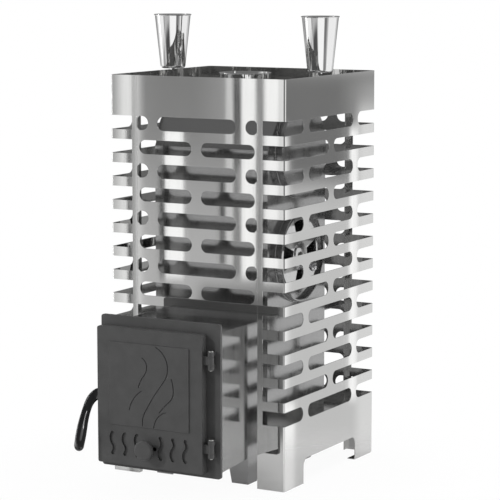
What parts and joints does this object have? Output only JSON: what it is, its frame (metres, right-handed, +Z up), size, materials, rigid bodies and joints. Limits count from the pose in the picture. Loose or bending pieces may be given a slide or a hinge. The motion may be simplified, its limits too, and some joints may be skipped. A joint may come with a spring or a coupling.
{
  "type": "sauna heater stove",
  "caption": "Wood-fired sauna heater: slotted stainless casing, furnace with fuel tunnel, cast door with air shutter and lever latch, rotary dampers and two water funnels",
  "frame": {"origin": "on the floor, at the middle of the whole footprint: the casing's back to the handle's front, and funnel to funnel", "axes": "+Z up, front with the door towards -Y, +X to the viewer's right when facing the door"},
  "size_m": [0.478, 0.6484, 1.052],
  "materials": {
    "casing_steel": "satin rolled stainless sheet",
    "furnace_steel": "heat-resistant stainless, satin",
    "mirror_steel": "mirror-polished stainless",
    "cast_black": "matt black heat-resistant paint on cast iron",
    "cast_gloss": "glossy black enamel",
    "raw_cast": "raw grey cast iron",
    "fastener_steel": "turned and plated steel",
    "chrome_ball": "polished chrome",
    "damper_steel": "satin stainless disc",
    "rope": "woven glass-fibre rope",
    "drawer_steel": "blackened sheet steel"
  },
  "bodies": {
    "stove": {"side_panel_left": "casing_steel", "side_panel_right": "casing_steel", "front_grid": "casing_steel", "back_grid": "casing_steel", "panel_screws": "fastener_steel", "rear_brackets": "furnace_steel", "furnace_front": "furnace_steel", "furnace_back": "furnace_steel", "furnace_side_left": "furnace_steel", "furnace_side_right": "furnace_steel", "furnace_roof": "furnace_steel", "furnace_floor": "furnace_steel", "furnace_legs": "furnace_steel", "foot_plates": "casing_steel", "flue_collar": "mirror_steel", "stone_barrel": "furnace_steel", "steam_barrel": "furnace_steel", "steam_cover_left": "furnace_steel", "steam_cover_right": "furnace_steel", "damper_plate_left": "furnace_steel", "damper_plate_right": "furnace_steel", "damper_bolts": "fastener_steel", "fuel_tunnel": "furnace_steel", "hearth_plate": "furnace_steel", "grate": "raw_cast", "ash_drawer": "drawer_steel", "drawer_ends": "drawer_steel", "front_plate": "cast_black", "hinge_pins": "fastener_steel", "latch_keeper": "fastener_steel", "water_pipe_left": "mirror_steel", "water_pipe_right": "mirror_steel"},
    "door": {"door_casting": "cast_black", "door_seal": "rope", "door_shield": "furnace_steel", "shield_bolts": "fastener_steel", "latch_pin": "fastener_steel"},
    "latch": {"latch_lever": "cast_black", "door_handle": "cast_gloss"},
    "shutter": {"air_shutter": "cast_black", "air_knob": "cast_black"},
    "damper_right": {"damper_disc_right": "damper_steel", "damper_knob_right": "chrome_ball"},
    "damper_left": {"damper_disc_left": "damper_steel", "damper_knob_left": "chrome_ball"},
    "funnel_right": {"funnel_right": "mirror_steel"},
    "funnel_left": {"funnel_left": "mirror_steel"}
  },
  "joints": [
    {"name": "door_hinge", "type": "hinge", "parent": "stove", "child": "door", "pos_m": [0.123, -0.27479, 0.215], "axis": [0, 0, 1], "range_deg": [0, 110]},
    {"name": "latch_turn", "type": "hinge", "parent": "door", "child": "latch", "pos_m": [-0.144, -0.27279, 0.216], "axis": [0, 1, 0], "range_deg": [-10, 18]},
    {"name": "shutter_slide", "type": "slide", "parent": "door", "child": "shutter", "axis": [1, 0, 0], "range_m": [0, 0.016]},
    {"name": "damper_right_turn", "type": "hinge", "parent": "stove", "child": "damper_right", "pos_m": [0.155, 0.07971, 0.506], "axis": [1, 0, 0], "range_deg": [0, 45]},
    {"name": "damper_left_turn", "type": "hinge", "parent": "stove", "child": "damper_left", "pos_m": [-0.155, 0.07971, 0.506], "axis": [1, 0, 0], "range_deg": [0, 45]},
    {"name": "funnel_right_lift", "type": "slide", "parent": "stove", "child": "funnel_right", "axis": [0, 0, 1], "range_m": [0, 0.06]},
    {"name": "funnel_left_lift", "type": "slide", "parent": "stove", "child": "funnel_left", "axis": [0, 0, 1], "range_m": [0, 0.06]}
  ]
}
